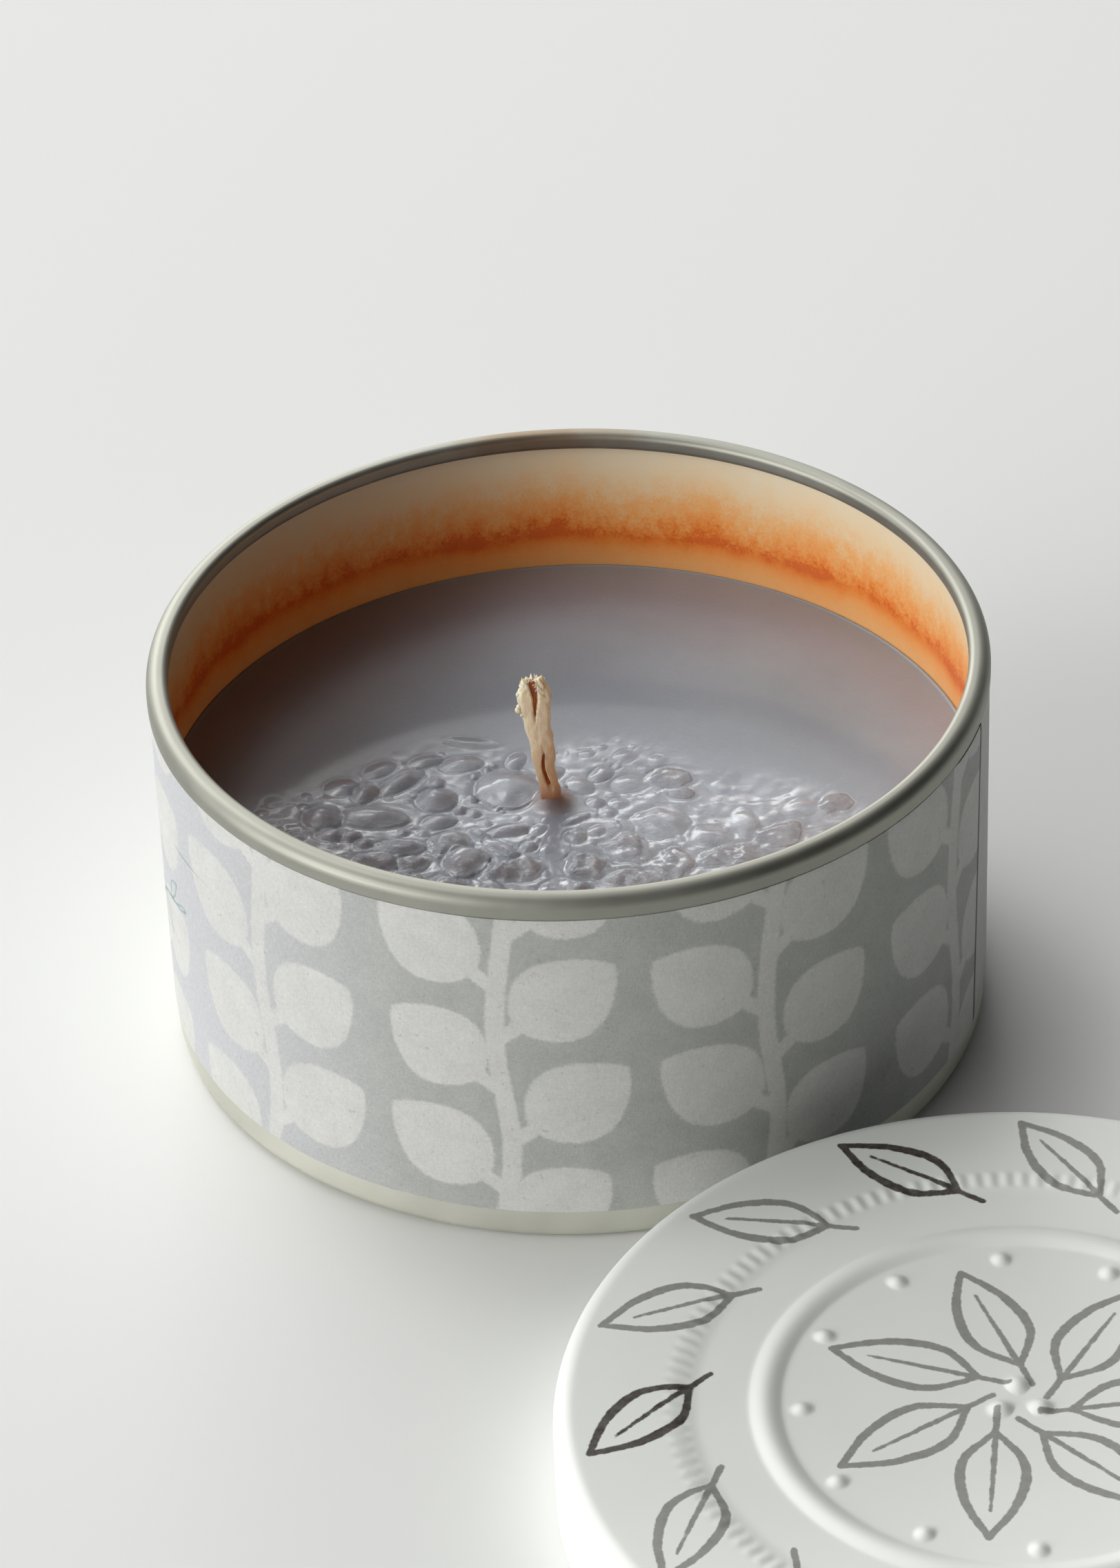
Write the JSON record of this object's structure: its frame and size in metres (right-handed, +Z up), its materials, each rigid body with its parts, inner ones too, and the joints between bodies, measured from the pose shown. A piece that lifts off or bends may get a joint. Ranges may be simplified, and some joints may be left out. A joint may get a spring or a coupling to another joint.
{
  "type": "tin candle with slip lid",
  "caption": "Round tin candle with a rolled rim, paper wrap label, part-burned wax fill and cotton wick; its slip lid with pressed bead and fluted step lies beside it.",
  "frame": {"origin": "centre of the face that the tin stands on", "axes": "+Z up along the tin's axis; -Y is the side of the tin nearest the viewer; the lid lies towards -Y and +X"},
  "size_m": [0.1174, 0.1556, 0.0396],
  "materials": {
    "tinplate": "satin champagne-silver tinplate, cream lacquer inside",
    "label_paper": "uncoated paper printed with off-white leaves on light grey",
    "sticker_paper": "plain white paper sticker",
    "wax": "lavender-grey wax, glossy at the back, blistered at the front",
    "pad_foam": "double-sided foam pad",
    "sustainer_steel": "plain tinned steel",
    "wick_cotton": "waxed cotton braid, cream",
    "core_paper": "brown paper core",
    "lid_enamel": "white printed tinplate with dark leaf line drawing"
  },
  "bodies": {
    "tin": {"tin_body": "tinplate", "wrap_label": "label_paper", "base_sticker": "sticker_paper", "wax_fill": "wax", "sustainer_pad": "pad_foam", "wick_sustainer": "sustainer_steel", "wick_braid": "wick_cotton", "wick_core": "core_paper"},
    "lid": {"lid_shell": "lid_enamel"}
  },
  "joints": [
    {"name": "lid_lift", "type": "slide", "parent": "tin", "child": "lid", "axis": [0, 0, 1], "range_m": [0, 0.06]}
  ]
}
